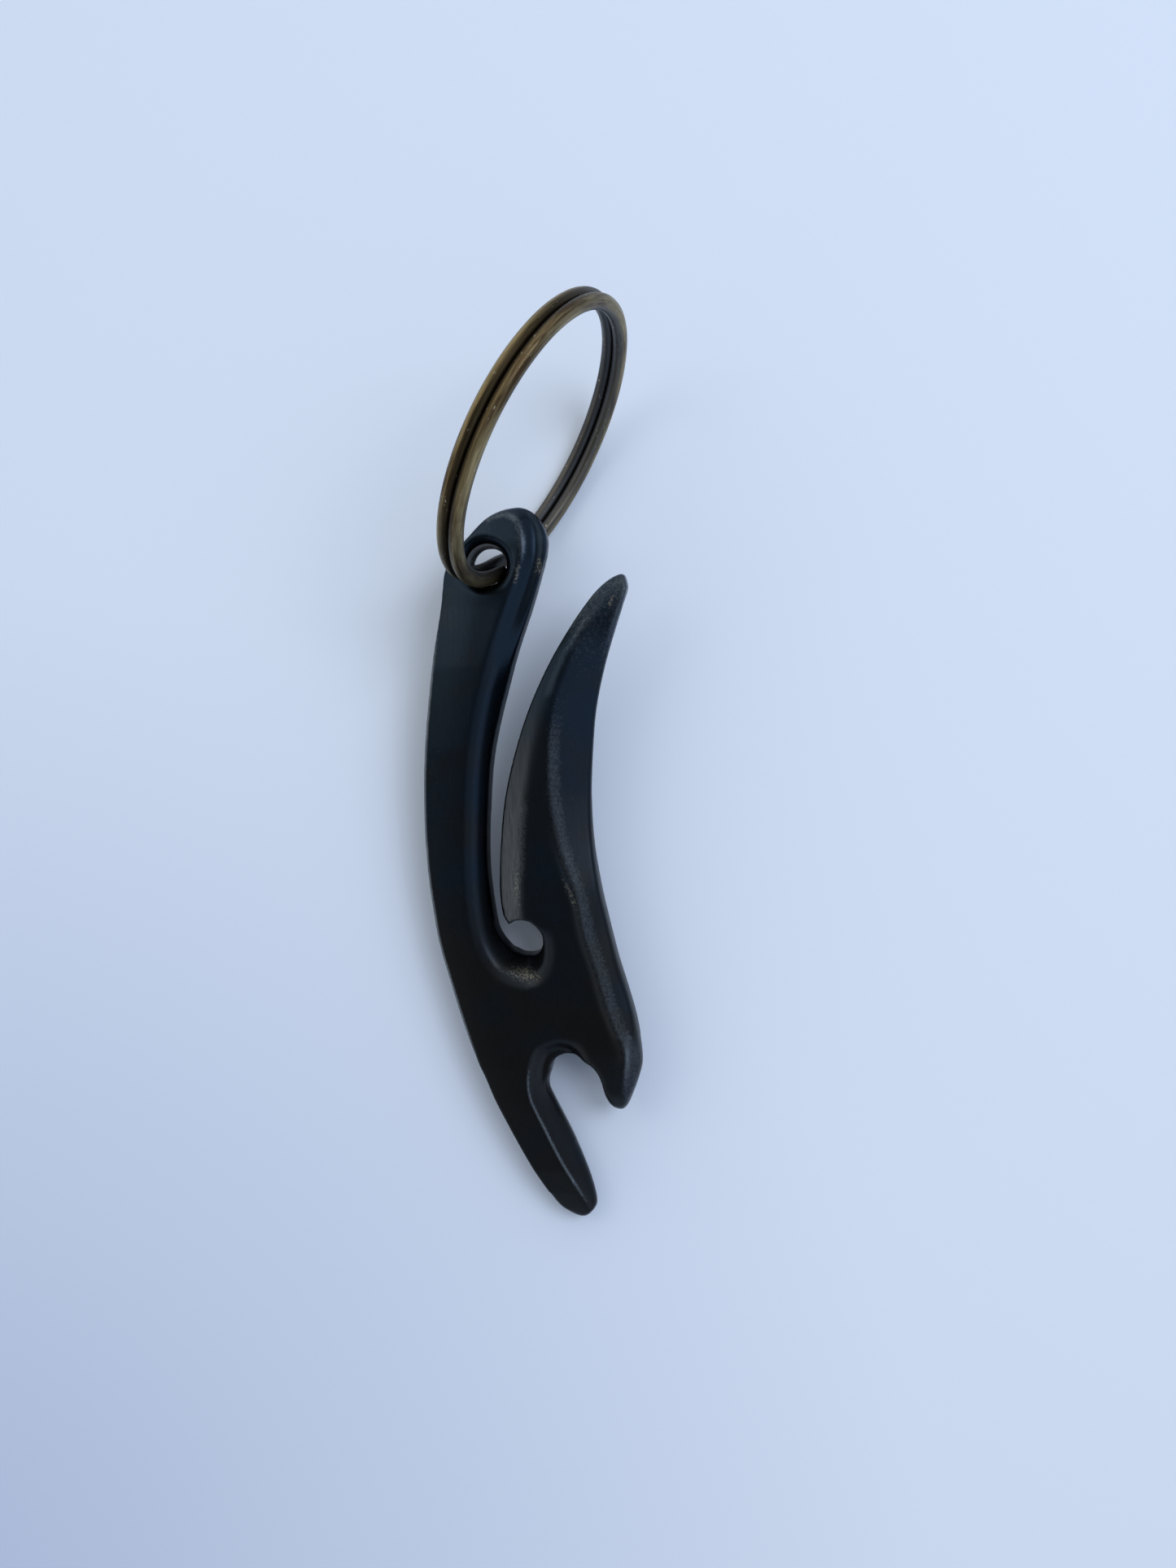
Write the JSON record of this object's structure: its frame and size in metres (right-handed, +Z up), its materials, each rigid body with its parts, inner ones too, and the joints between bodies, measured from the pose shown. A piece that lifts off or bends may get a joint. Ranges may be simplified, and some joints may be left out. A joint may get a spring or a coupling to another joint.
{
  "type": "keychain bottle opener",
  "caption": "Small cast opener with a hooked bottle mouth, a long prong, a slot and a pierced eye that carries a flat-wire split ring.",
  "frame": {"origin": "on the table the part rests on, under the middle of the whole part's box", "axes": "+Z up from the table, +Y from the tip of the long prong towards the split ring, +X towards the hook's side"},
  "size_m": [0.0241, 0.098, 0.0317],
  "materials": {
    "blackened_brass": "blackened satin, worn towards bare brass on its edges",
    "antique_plated_steel": "antique-brass plating, semi-gloss, worn on the corners of the wire"
  },
  "bodies": {
    "opener_body": {"opener_body": "blackened_brass"},
    "split_ring": {"split_ring": "antique_plated_steel"}
  },
  "joints": [
    {"name": "ring_swing", "type": "hinge", "parent": "opener_body", "child": "split_ring", "pos_m": [-0.00492, 0.0233, 0.00791], "axis": [-0.1618, -0.1011, 0.9816], "range_deg": [-115, 180]}
  ]
}
